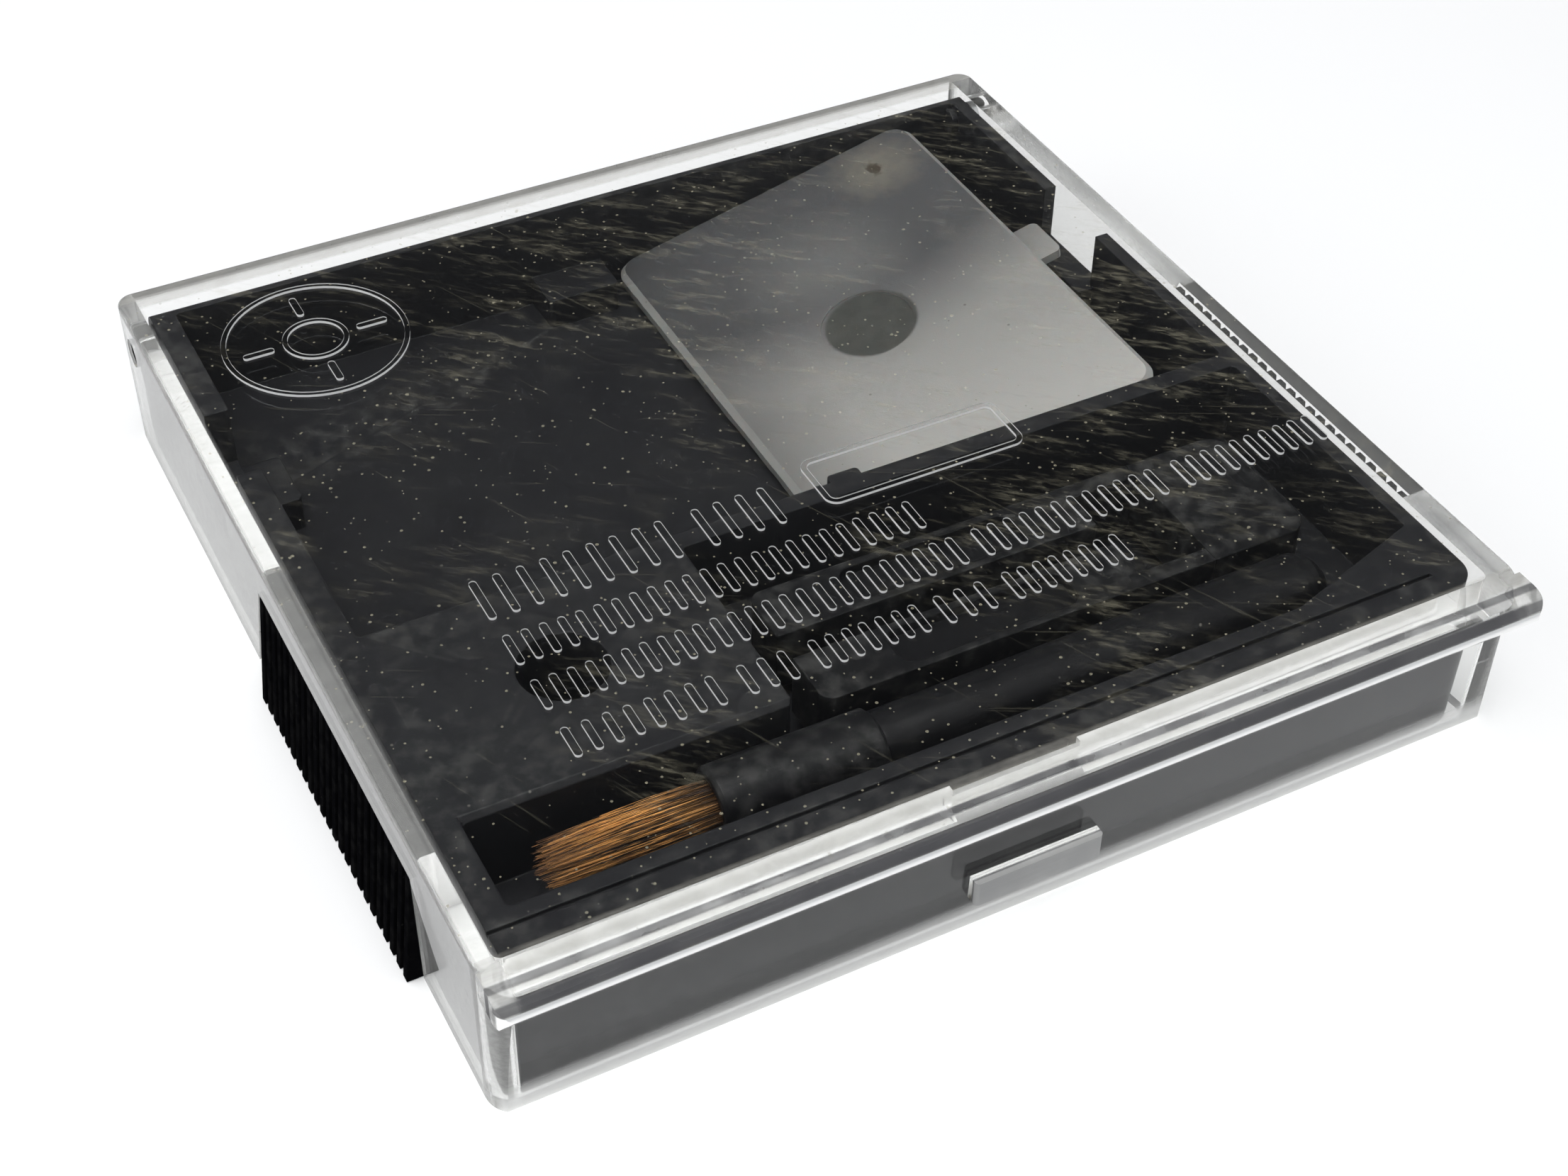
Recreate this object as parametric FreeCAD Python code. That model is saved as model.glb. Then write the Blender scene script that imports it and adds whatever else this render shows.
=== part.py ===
"""Focusing-screen kit: a clear hinged cover over a black tray with a screen, a brush and tweezers.

Millimetres. X runs along the front, Y to the back, Z up. The origin is on the table, under the
middle of the case. Each function returns one physical piece, and each piece is one STEP file.
"""
import FreeCAD, Part
import math
import os

V = FreeCAD.Vector

# ---- case and cover ----
HALF_WIDTH = 35.0
FRONT_Y = -34.6
BACK_Y = 34.5
TOTAL_HEIGHT = 12.0
PLATE_THICK = 1.4
SIDE_THICK = 1.4
FRONT_INNER_Y = -32.6
FRONT_DRAFT = 0.5
CORNER_R = 2.0
BACK_CORNER_R = 1.2
INNER_CORNER_R = 0.6
EDGE_R = 0.35
LIP_Y = -36.6
LIP_UNDER_Z = 10.0
LIP_CORNER_R = 1.0
CATCH_BAR_X = (-4.8, 4.0)
CATCH_BAR_Z = (2.9, 4.8)
CATCH_RECESS_X = (-5.6, 3.0)
CATCH_RECESS_Z = 7.0
CATCH_RECESS_DEPTH = 0.4
PLATE_UNDER_Z = TOTAL_HEIGHT - PLATE_THICK
COVER_INNER_X = HALF_WIDTH - SIDE_THICK

# ---- hinge ----
PIVOT_Y = 31.5
PIVOT_Z = 9.0
PIN_R = 1.0
PIN_CLEARANCE = 0.05
PIN_INNER_X = 31.7
PIN_OUTER_X = 34.85

# ---- tray ----
TRAY_HALF_X = 33.2
TRAY_FRONT_Y = -32.3
TRAY_TOP_Z = 10.4
TRAY_BACK_R = 1.55
TRAY_BACK_Y = 32.75
TRAY_BACK_STEP_Z = 5.8
TRAY_CORNER_R = (0.3, 1.9)
NIB_X = (-5.2, 2.6)
NIB_UNDER_Z = 8.9
NIB_REACH = 0.2
FLOOR_Z = 2.6
POCKET_LEFT_X = -31.5
POCKET_RIGHT_X = 32.2
SCREEN_POCKET_Y = (-5.6, 31.7)
RIDGE_FRONT_Y = -7.0
PLATEAU_RIGHT_X = -10.3
PLATEAU_FRONT_Y = -22.3
TOOL_FLOOR_Z = 4.1
TOOL_FRONT_Y = -29.3
THUMB_HOLLOW = (-21.3, -13.5)
THUMB_HOLLOW_R = 2.9
THUMB_HOLLOW_DEPTH = 6.5
GROOVE_Y = (-30.7, -30.4)
GROOVE_DEPTH = 0.3
CRADLE_X = (-14.5, 14.0)
CRADLE_THICK = 1.6

# ---- ribbed grips on the tray's sides ----
GRIP_FRONT_Y = -23.0
GRIP_BACK_Y = 3.4
GRIP_TOP_Z = 8.6
GRIP_FLARE = 1.0
RIB_COUNT = 24
RIB_WIDTH = 0.62
RIB_DEPTH = 0.75

# ---- side cut-outs of the cover ----
CUTOUT_FRONT_Y = -23.15
CUTOUT_TOP_Z = 8.8
CUTOUT_BACK_TOP_Y = 3.6
CUTOUT_BACK_LOW_Y = 7.0

# ---- focusing screen ----
SCREEN_WIDTH = 26.0
SCREEN_LENGTH = 37.0
SCREEN_THICK = 1.4
SCREEN_FRONT_Y = -5.4
SCREEN_EDGE_X = 2.45
SCREEN_EDGE_Z = 2.85
SCREEN_TILT_DEG = 13.3
SCREEN_CORNER_R = 1.8
SCREEN_BEVEL = 0.45
SPOT_R = 3.5
SPOT_DEPTH = 0.12
SPOT_CENTRE = (12.3, 18.0)
TAB_LENGTH = 2.0
TAB_WIDTH = 3.9
TAB_MIDDLE_Y = 18.3
TAB_THICK = 0.7

# ---- brush ----
BRUSH_Y = -25.6
BRUSH_Z = 7.9
COLLAR_X = (-17.4, -6.5)
COLLAR_R = 2.4
COLLAR_BORE_R = 1.75
COLLAR_BORE_DEPTH = 4.0
SHANK_R = 1.5
SHANK_LENGTH = 5.0
HANDLE_END_X = 26.2
HANDLE_R = (2.05, 2.35)
TUFT_TIP_X = -28.8
TUFT_R = 2.15

# ---- tweezers ----
TWEEZER_AXIS_Y = -17.4
TWEEZER_BOTTOM_Z = 5.2
TWEEZER_TOP_Z = 9.7
JAW_X = -8.3
ARM_ROOT_X = 20.0
TAIL_END_X = 27.4
ARM_WIDTH = 4.2
JAW_HALF_GAP = 1.05
FLEX_WIDTH = 1.2
ROOT_GAP = 0.05

# ---- raised marks on the cover ----
MARK_HEIGHT = 0.2
MARK_STROKE = 0.5
RING_CENTRE = (-23.9, 23.2)
RING_RADII = (6.5, 6.15)
TARGET_RADII = (2.3, 1.95)
TICK_REACH = (3.0, 5.2)
LABEL_X = (-0.5, 14.3)
LABEL_Y = (-8.7, -3.9)
LABEL_STROKE = 0.4
ROW_Y = ((-8.8, -5.1), (-13.2, -10.5), (-17.4, -14.8), (-21.7, -19.2))
ROW_GROUPS = (
    ((-24.0, -10.9, 9), (-8.8, -3.6, 4)),
    ((-24.0, 4.1, 24),),
    ((-24.0, 4.8, 25), (6.2, 19.8, 12), (21.4, 32.4, 10)),
    ((-24.0, -14.2, 8), (-12.6, -9.4, 3), (-7.8, -0.4, 7), (0.9, 4.3, 3), (5.8, 14.2, 8)),
)


def box(x0, x1, y0, y1, z0, z1):
    """Box between two corners."""
    return Part.makeBox(x1 - x0, y1 - y0, z1 - z0, V(x0, y0, z0))


def prism_x(outline, x0, x1):
    """Extrude a closed (y, z) outline along X."""
    points = [V(x0, y, z) for y, z in outline]
    face = Part.Face(Part.makePolygon(points + points[:1]))
    return face.extrude(V(x1 - x0, 0, 0))


def prism_y(outline, y0, y1):
    """Extrude a closed (x, z) outline along Y."""
    points = [V(x, y0, z) for x, z in outline]
    face = Part.Face(Part.makePolygon(points + points[:1]))
    return face.extrude(V(0, y1 - y0, 0))


def prism_z(outline, z0, z1):
    """Extrude a closed (x, y) outline along Z."""
    points = [V(x, y, z0) for x, y in outline]
    face = Part.Face(Part.makePolygon(points + points[:1]))
    return face.extrude(V(0, 0, z1 - z0))


def upright_edges(shape, accept):
    """Edges parallel to Z whose (x, y) place passes the test."""
    found = []
    for edge in shape.Edges:
        low = edge.Vertexes[0].Point
        high = edge.Vertexes[-1].Point
        is_upright = abs(low.x - high.x) < 1e-6 and abs(low.y - high.y) < 1e-6
        if is_upright and accept(low.x, low.y):
            found.append(edge)
    return found


def rounded_box(x0, x1, y0, y1, z0, z1, radius):
    """Box with its four upright edges rounded."""
    block = box(x0, x1, y0, y1, z0, z1)
    return block.makeFillet(radius, upright_edges(block, lambda x, y: True))


def stadium(x0, x1, y0, y1, z0, z1):
    """Bar with fully rounded ends in plan."""
    radius = min(x1 - x0, y1 - y0) / 2 * 0.98
    return rounded_box(x0, x1, y0, y1, z0, z1, radius)


def rod_x(x0, x1, y, z, radius):
    """Round rod along X."""
    return Part.makeCylinder(radius, x1 - x0, V(x0, y, z), V(1, 0, 0))


# ------------------------------------------------------------------ cover

def cover_lip():
    """Finger lip: a rounded nose along the top of the front wall."""
    root = FRONT_Y + 1.0
    top = V(-HALF_WIDTH, FRONT_Y - 0.2, TOTAL_HEIGHT)
    crown = V(-HALF_WIDTH, LIP_Y + 0.55, TOTAL_HEIGHT - 0.42)
    nose = V(-HALF_WIDTH, LIP_Y, LIP_UNDER_Z + 0.75)
    heel = V(-HALF_WIDTH, LIP_Y + 0.5, LIP_UNDER_Z)
    edges = [
        Part.makeLine(V(-HALF_WIDTH, root, TOTAL_HEIGHT), top),
        Part.Arc(top, crown, nose).toShape(),
        Part.makeLine(nose, heel),
        Part.makeLine(heel, V(-HALF_WIDTH, root, LIP_UNDER_Z)),
        Part.makeLine(V(-HALF_WIDTH, root, LIP_UNDER_Z), V(-HALF_WIDTH, root, TOTAL_HEIGHT)),
    ]
    bar = Part.Face(Part.Wire(edges)).extrude(V(2 * HALF_WIDTH, 0, 0))
    plan = box(-HALF_WIDTH, HALF_WIDTH, LIP_Y, 0, 0, TOTAL_HEIGHT + 1)
    plan = plan.makeFillet(LIP_CORNER_R, upright_edges(plan, lambda x, y: y < -30))
    return bar.common(plan)


def cover_shell():
    """Top plate, side walls and front wall with a catch recess, open at the back and underneath."""
    shell = box(-HALF_WIDTH, HALF_WIDTH, FRONT_Y, BACK_Y, 0, TOTAL_HEIGHT)
    shell = shell.makeFillet(CORNER_R, upright_edges(shell, lambda x, y: y < 0))
    shell = shell.makeFillet(BACK_CORNER_R, upright_edges(shell, lambda x, y: y > BACK_Y - 0.1))
    top_edges = [edge for edge in shell.Edges if edge.BoundBox.ZMin > TOTAL_HEIGHT - 1e-6]
    shell = shell.makeFillet(EDGE_R, top_edges)
    inside = box(-COVER_INNER_X, COVER_INNER_X, FRONT_INNER_Y, BACK_Y + 1, -1, PLATE_UNDER_Z)
    inside = inside.makeFillet(INNER_CORNER_R, upright_edges(inside, lambda x, y: y < 0))
    recess = box(CATCH_RECESS_X[0], CATCH_RECESS_X[1], FRONT_INNER_Y - CATCH_RECESS_DEPTH,
                 FRONT_INNER_Y + 0.5, CATCH_RECESS_Z, PLATE_UNDER_Z)
    draft = prism_x([(FRONT_Y - 1, -1), (FRONT_Y + FRONT_DRAFT, -1), (FRONT_Y, LIP_UNDER_Z),
                     (FRONT_Y - 1, LIP_UNDER_Z)], -HALF_WIDTH - 1, HALF_WIDTH + 1)
    return shell.cut(inside).cut(recess).cut(draft)


def cover_side_cutout():
    """Opening for the grips: its back edge slopes so that the cover clears them when it opens."""
    outline = [(CUTOUT_FRONT_Y, -1), (CUTOUT_FRONT_Y, CUTOUT_TOP_Z),
               (CUTOUT_BACK_TOP_Y, CUTOUT_TOP_Z), (CUTOUT_BACK_LOW_Y, 0), (CUTOUT_BACK_LOW_Y, -1)]
    return prism_x(outline, -HALF_WIDTH - 1, HALF_WIDTH + 1)


def cover_heel_trim():
    """Outside a circle round the pivot the lower back corner would press into the table."""
    sweep = rod_x(-HALF_WIDTH - 1, HALF_WIDTH + 1, PIVOT_Y, PIVOT_Z, PIVOT_Z - 0.05)
    corner = box(-HALF_WIDTH - 1, HALF_WIDTH + 1, PIVOT_Y, BACK_Y + 1, -1, PIVOT_Z - 4)
    return corner.cut(sweep)


def mark_ring():
    """Raised ring with a focusing target: inner ring and four ticks."""
    x, y = RING_CENTRE
    base = TOTAL_HEIGHT - 0.1
    height = MARK_HEIGHT + 0.1
    shapes = []
    for outer, inner in (RING_RADII, TARGET_RADII):
        ring = Part.makeCylinder(outer, height, V(x, y, base))
        shapes.append(ring.cut(Part.makeCylinder(inner, height, V(x, y, base))))
    for turn in range(4):
        tick = stadium(x - MARK_STROKE / 2, x + MARK_STROKE / 2, y + TICK_REACH[0], y + TICK_REACH[1],
                       base, base + height)
        tick.rotate(V(x, y, 0), V(0, 0, 1), 90 * turn)
        shapes.append(tick)
    return shapes


def mark_bars(x0, x1, y0, y1, count):
    """A group of evenly spaced upright bars."""
    pitch = (x1 - x0 - MARK_STROKE) / (count - 1)
    base = TOTAL_HEIGHT - 0.1
    bars = []
    for index in range(count):
        left = x0 + pitch * index
        bars.append(stadium(left, left + MARK_STROKE, y0, y1, base, TOTAL_HEIGHT + MARK_HEIGHT))
    return bars


def mark_label_outline():
    """Raised rounded frame where a label can be stuck."""
    base = TOTAL_HEIGHT - 0.1
    x0, x1 = LABEL_X
    y0, y1 = LABEL_Y
    wall = LABEL_STROKE
    outer = rounded_box(x0, x1, y0, y1, base, TOTAL_HEIGHT + MARK_HEIGHT, 0.9)
    inner = rounded_box(x0 + wall, x1 - wall, y0 + wall, y1 - wall, base - 1, TOTAL_HEIGHT + 1, 0.5)
    return outer.cut(inner)


def cover_marks():
    """Generic raised marks: a target ring, a label frame and four rows of bars."""
    marks = mark_ring()
    marks.append(mark_label_outline())
    for (y0, y1), groups in zip(ROW_Y, ROW_GROUPS):
        for x0, x1, count in groups:
            marks += mark_bars(x0, x1, y0, y1, count)
    return marks


def clear_cover():
    """The whole cover, moulded in one piece."""
    cover = cover_shell().fuse(cover_lip())
    catch_bar = rounded_box(CATCH_BAR_X[0], CATCH_BAR_X[1], FRONT_Y - 0.6, FRONT_Y + 0.8,
                            CATCH_BAR_Z[0], CATCH_BAR_Z[1], 0.3)
    cover = cover.fuse(catch_bar).removeSplitter()
    cover = cover.cut(cover_side_cutout()).cut(cover_heel_trim())
    hole_r = PIN_R + PIN_CLEARANCE
    cover = cover.cut(rod_x(-HALF_WIDTH - 1, HALF_WIDTH + 1, PIVOT_Y, PIVOT_Z, hole_r))
    return cover.fuse(cover_marks())


# ------------------------------------------------------------------ tray

def tray_body():
    """Solid tray before the pockets: the upper back edge is round about the hinge axis."""
    rise = TRAY_TOP_Z - PIVOT_Z
    run = math.sqrt(TRAY_BACK_R ** 2 - rise ** 2)
    middle = math.radians(35)
    left = -TRAY_HALF_X
    top_back = V(left, PIVOT_Y + run, TRAY_TOP_Z)
    round_mid = V(left, PIVOT_Y + TRAY_BACK_R * math.cos(middle), PIVOT_Z + TRAY_BACK_R * math.sin(middle))
    round_end = V(left, PIVOT_Y + TRAY_BACK_R, PIVOT_Z)
    foot_back = V(left, TRAY_BACK_Y, TRAY_BACK_STEP_Z)
    floor_back = V(left, TRAY_BACK_Y, 0)
    floor_front = V(left, TRAY_FRONT_Y, 0)
    top_front = V(left, TRAY_FRONT_Y, TRAY_TOP_Z)
    edges = [
        Part.makeLine(top_front, top_back),
        Part.Arc(top_back, round_mid, round_end).toShape(),
        Part.makeLine(round_end, foot_back),
        Part.makeLine(foot_back, floor_back),
        Part.makeLine(floor_back, floor_front),
        Part.makeLine(floor_front, top_front),
    ]
    body = Part.Face(Part.Wire(edges)).extrude(V(2 * TRAY_HALF_X, 0, 0))
    body = body.makeFillet(TRAY_CORNER_R[1], upright_edges(body, lambda x, y: x > 0 and y < 0))
    return body.makeFillet(TRAY_CORNER_R[0], upright_edges(body, lambda x, y: x < 0 and y < 0))


def screen_pocket():
    """Deep pocket for the screen, with finger gaps through both side walls."""
    y0, y1 = SCREEN_POCKET_Y
    pocket = rounded_box(POCKET_LEFT_X, POCKET_RIGHT_X, y0, y1, FLOOR_Z, TRAY_TOP_Z + 1, 0.4)
    right_gap = box(POCKET_RIGHT_X - 1, TRAY_HALF_X + 1, 10.6, 17.7, 6.0, TRAY_TOP_Z + 1)
    left_gap = box(-TRAY_HALF_X - 1, POCKET_LEFT_X + 1, 12.5, 19.5, 6.0, TRAY_TOP_Z + 1)
    return pocket.fuse([right_gap, left_gap])


def tool_pocket():
    """L-shaped pocket: a channel along the front and a bay at the right for the tweezers."""
    outline = [(POCKET_LEFT_X, PLATEAU_FRONT_Y), (PLATEAU_RIGHT_X, PLATEAU_FRONT_Y),
               (PLATEAU_RIGHT_X, RIDGE_FRONT_Y), (POCKET_RIGHT_X, RIDGE_FRONT_Y),
               (POCKET_RIGHT_X, -26.0), (21.5, TOOL_FRONT_Y), (POCKET_LEFT_X, TOOL_FRONT_Y)]
    pocket = prism_z(outline, TOOL_FLOOR_Z, TRAY_TOP_Z + 1)
    return pocket.makeFillet(0.4, upright_edges(pocket, lambda x, y: True))


def plateau_bevel():
    """Light bevel along the plateau's front edge."""
    size = 0.45
    edge = [(PLATEAU_FRONT_Y - 0.1, TRAY_TOP_Z - size), (PLATEAU_FRONT_Y - 0.1, TRAY_TOP_Z + 0.1),
            (PLATEAU_FRONT_Y + size, TRAY_TOP_Z + 0.1)]
    return prism_x(edge, POCKET_LEFT_X, PLATEAU_RIGHT_X)


def tray_ledges():
    """Small supports: two at the finger gaps, one at the back, a lug on the ridge, brush cradles."""
    y1 = SCREEN_POCKET_Y[1]
    ledges = [
        rounded_box(30.9, POCKET_RIGHT_X + 0.5, 10.2, 18.1, FLOOR_Z - 0.5, 6.0, 0.4),
        rounded_box(POCKET_LEFT_X - 0.5, -28.6, 14.6, 19.6, FLOOR_Z - 0.5, 5.2, 0.4),
        rounded_box(-4.5, 1.2, 28.2, y1 + 0.5, FLOOR_Z - 0.5, 5.0, 0.4),
        rounded_box(1.2, 3.5, RIDGE_FRONT_Y + 0.7, -4.9, 8.6, TRAY_TOP_Z, 0.3),
    ]
    room = COLLAR_R + 0.15
    for x0 in CRADLE_X:
        cradle = box(x0, x0 + CRADLE_THICK, TOOL_FRONT_Y - 0.3, BRUSH_Y + 2.9,
                     TOOL_FLOOR_Z - 0.5, BRUSH_Z - 1.2)
        ledges.append(cradle.cut(rod_x(x0 - 1, x0 + 3, BRUSH_Y, BRUSH_Z, room)))
    return ledges


def grip(side):
    """Ribbed grip on one side (side is -1 or +1): a flared pad with upright ribs."""
    wall = side * (TRAY_HALF_X - 0.5)
    rib_top = side * HALF_WIDTH
    rib_foot = side * (HALF_WIDTH + GRIP_FLARE)
    pad_top = rib_top - side * RIB_DEPTH
    pad_foot = rib_foot - side * RIB_DEPTH
    pad = prism_y([(wall, 0), (pad_foot, 0), (pad_top, GRIP_TOP_Z), (wall, GRIP_TOP_Z)],
                  GRIP_FRONT_Y, GRIP_BACK_Y)
    pitch = (GRIP_BACK_Y - GRIP_FRONT_Y - RIB_WIDTH) / (RIB_COUNT - 1)
    ribs = []
    for index in range(RIB_COUNT):
        y0 = GRIP_FRONT_Y + pitch * index
        outline = [(wall, 0), (rib_foot, 0), (rib_top, GRIP_TOP_Z), (wall, GRIP_TOP_Z)]
        ribs.append(prism_y(outline, y0, y0 + RIB_WIDTH))
    return pad.fuse(ribs).removeSplitter()


def base_tray():
    """The whole tray, moulded in one piece."""
    tray = tray_body().cut(screen_pocket()).cut(tool_pocket()).cut(plateau_bevel())
    hollow_floor = V(THUMB_HOLLOW[0], THUMB_HOLLOW[1], TRAY_TOP_Z - THUMB_HOLLOW_DEPTH)
    tray = tray.cut(Part.makeCylinder(THUMB_HOLLOW_R, THUMB_HOLLOW_DEPTH + 0.5, hollow_floor))
    tray = tray.cut(box(-TRAY_HALF_X - 1, TRAY_HALF_X - 2.5, GROOVE_Y[0], GROOVE_Y[1],
                        TRAY_TOP_Z - GROOVE_DEPTH, TRAY_TOP_Z + 1))
    nib = rounded_box(NIB_X[0], NIB_X[1], TRAY_FRONT_Y - NIB_REACH, TRAY_FRONT_Y + 0.8,
                      NIB_UNDER_Z, TRAY_TOP_Z, 0.15)
    tray = tray.fuse(tray_ledges() + [nib, grip(-1), grip(1)]).removeSplitter()
    return tray.cut([pin_body(-1), pin_body(1)])


# ------------------------------------------------------------------ hinge pins

def pin_body(side):
    """Full-length pin on one side, without its end chamfer."""
    start = side * PIN_INNER_X
    length = PIN_OUTER_X - PIN_INNER_X
    return Part.makeCylinder(PIN_R, length, V(start, PIVOT_Y, PIVOT_Z), V(side, 0, 0))


def hinge_pin(side):
    """Hinge pin pressed into the tray's side wall, free in the cover's side wall."""
    pin = pin_body(side)
    outer_x = side * PIN_OUTER_X
    rim = [edge for edge in pin.Edges if abs(edge.BoundBox.XMin - outer_x) < 1e-6
           and abs(edge.BoundBox.XMax - outer_x) < 1e-6]
    return pin.makeChamfer(0.2, rim)


# ------------------------------------------------------------------ screen

def focusing_screen():
    """Frosted plate with a bevelled top edge, a shallow focusing spot and a handling tab.

    It is drawn flat with its lower left edge on the tilt axis, then tilted into place.
    """
    plate = rounded_box(0, SCREEN_WIDTH, 0, SCREEN_LENGTH, 0, SCREEN_THICK, SCREEN_CORNER_R)
    top_edges = [edge for edge in plate.Edges if edge.BoundBox.ZMin > SCREEN_THICK - 1e-6]
    plate = plate.makeChamfer(SCREEN_BEVEL, top_edges)
    spot = Part.makeCylinder(SPOT_R, 1.0, V(SPOT_CENTRE[0], SPOT_CENTRE[1], SCREEN_THICK - SPOT_DEPTH))
    tab = rounded_box(SCREEN_WIDTH - 2.0, SCREEN_WIDTH + TAB_LENGTH, TAB_MIDDLE_Y - TAB_WIDTH / 2,
                      TAB_MIDDLE_Y + TAB_WIDTH / 2, 0, TAB_THICK, 0.5)
    screen = plate.cut(spot).fuse(tab).removeSplitter()
    screen.translate(V(SCREEN_EDGE_X, SCREEN_FRONT_Y, SCREEN_EDGE_Z))
    screen.rotate(V(SCREEN_EDGE_X, 0, SCREEN_EDGE_Z), V(0, 1, 0), -SCREEN_TILT_DEG)
    return screen


# ------------------------------------------------------------------ brush

def turned(points):
    """Solid of revolution about the brush's axis from (x, radius) points, open ends on the axis."""
    rim = [V(x, BRUSH_Y, BRUSH_Z + radius) for x, radius in points]
    wire = Part.makePolygon(rim + rim[:1])
    return Part.Face(wire).revolve(V(0, BRUSH_Y, BRUSH_Z), V(1, 0, 0), 360)


def brush_handle():
    """Tapered handle with a domed end and a shank that sits in the collar."""
    x0 = COLLAR_X[1] + 0.02
    dome_r = HANDLE_R[1]
    profile = [(x0 - SHANK_LENGTH, 0), (x0 - SHANK_LENGTH, SHANK_R), (x0, SHANK_R), (x0, HANDLE_R[0])]
    steps = 6
    for step in range(steps + 1):
        angle = math.radians(90 * step / steps)
        x = HANDLE_END_X - dome_r + dome_r * math.sin(angle)
        profile.append((x, dome_r * math.cos(angle) if step < steps else 0))
    return turned(profile)


def brush_collar():
    """Thicker sleeve with a bore at each end, for the bristles and for the handle's shank."""
    x0, x1 = COLLAR_X
    edge = 0.25
    outside = [(x0, 0), (x0, COLLAR_R - edge), (x0 + edge, COLLAR_R), (x1 - edge, COLLAR_R),
               (x1, COLLAR_R - edge), (x1, 0)]
    collar = turned(outside)
    front_bore = rod_x(x0 - 1, x0 + COLLAR_BORE_DEPTH, BRUSH_Y, BRUSH_Z, COLLAR_BORE_R)
    back_bore = rod_x(x1 - SHANK_LENGTH + 0.02, x1 + 1, BRUSH_Y, BRUSH_Z, SHANK_R)
    return collar.cut(front_bore).cut(back_bore)


def brush_bristles():
    """Space taken by the tuft: a closed solid that swells a little and ends in a blunt tip."""
    root_x = COLLAR_X[0] + COLLAR_BORE_DEPTH
    mouth_x = COLLAR_X[0]
    profile = [(root_x, 0), (root_x, COLLAR_BORE_R), (mouth_x, COLLAR_BORE_R), (mouth_x - 4.0, TUFT_R),
               (TUFT_TIP_X + 1.5, TUFT_R), (TUFT_TIP_X, TUFT_R - 0.6), (TUFT_TIP_X, 0)]
    return turned(profile)


# ------------------------------------------------------------------ tweezers

def tweezer_arm(side):
    """One arm (side is -1 for the front arm, +1 for the back arm) with a grip recess and a thin root."""
    inner = TWEEZER_AXIS_Y + side * JAW_HALF_GAP
    outer = inner + side * ARM_WIDTH
    flex_inner = outer - side * FLEX_WIDTH
    low, high = min(inner, outer), max(inner, outer)
    arm = box(JAW_X, ARM_ROOT_X - 5.0, low, high, TWEEZER_BOTTOM_Z, TWEEZER_TOP_Z)
    arm = arm.makeFillet(1.0, upright_edges(arm, lambda x, y: x < 0 and abs(y - outer) < 0.1))
    root_low, root_high = min(flex_inner, outer), max(flex_inner, outer)
    root = box(ARM_ROOT_X - 5.2, ARM_ROOT_X - ROOT_GAP, root_low, root_high,
               TWEEZER_BOTTOM_Z, TWEEZER_TOP_Z)
    recess_low, recess_high = low + 0.55, high - 0.55
    recess = rounded_box(-2.4, 10.4, recess_low, recess_high, TWEEZER_TOP_Z - 0.7, TWEEZER_TOP_Z + 1, 1.0)
    return arm.fuse(root).removeSplitter().cut(recess)


def tweezer_tail():
    """Block that joins the two arms."""
    half = JAW_HALF_GAP + ARM_WIDTH
    tail = box(ARM_ROOT_X, TAIL_END_X, TWEEZER_AXIS_Y - half, TWEEZER_AXIS_Y + half,
               TWEEZER_BOTTOM_Z, TWEEZER_TOP_Z)
    return tail.makeFillet(1.6, upright_edges(tail, lambda x, y: x > ARM_ROOT_X + 1))


def main():
    os.makedirs("parts", exist_ok=True)
    pieces = {
        "base_tray": base_tray(),
        "clear_cover": clear_cover(),
        "hinge_pin_left": hinge_pin(-1),
        "hinge_pin_right": hinge_pin(1),
        "focusing_screen": focusing_screen(),
        "brush_handle": brush_handle(),
        "brush_collar": brush_collar(),
        "brush_bristles": brush_bristles(),
        "tweezer_arm_front": tweezer_arm(-1),
        "tweezer_arm_back": tweezer_arm(1),
        "tweezer_tail": tweezer_tail(),
    }
    for name, shape in pieces.items():
        shape.exportStep("parts/" + name + ".step")
        print(name, "solids", len(shape.Solids), "valid", shape.isValid(), "mm3", round(shape.Volume, 1))


main()
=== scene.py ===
"""Looks for the focusing-screen kit: clear cover, black tray, frosted screen, brush and tweezers.

Metres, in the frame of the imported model. Sizes written in millimetres are turned into metres by MM.
"""

import collections
import functools
import math
import random

import bpy
from mathutils import Matrix, Vector


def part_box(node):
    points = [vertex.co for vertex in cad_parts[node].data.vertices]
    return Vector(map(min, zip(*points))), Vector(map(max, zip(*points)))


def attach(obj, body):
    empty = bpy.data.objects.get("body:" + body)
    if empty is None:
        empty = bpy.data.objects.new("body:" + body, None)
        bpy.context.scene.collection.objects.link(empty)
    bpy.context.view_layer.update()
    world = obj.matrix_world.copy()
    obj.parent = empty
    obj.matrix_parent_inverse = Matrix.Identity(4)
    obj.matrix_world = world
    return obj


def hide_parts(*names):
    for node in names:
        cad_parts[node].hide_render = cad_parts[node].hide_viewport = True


MM = 0.001

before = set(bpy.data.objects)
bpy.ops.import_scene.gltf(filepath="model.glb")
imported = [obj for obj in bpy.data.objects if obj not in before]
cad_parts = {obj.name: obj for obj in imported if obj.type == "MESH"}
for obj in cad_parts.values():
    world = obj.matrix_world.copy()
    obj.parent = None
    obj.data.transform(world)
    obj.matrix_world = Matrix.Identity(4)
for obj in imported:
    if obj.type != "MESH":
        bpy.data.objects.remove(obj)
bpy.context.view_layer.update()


# ------------------------------------------------------------------ node helpers

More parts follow.
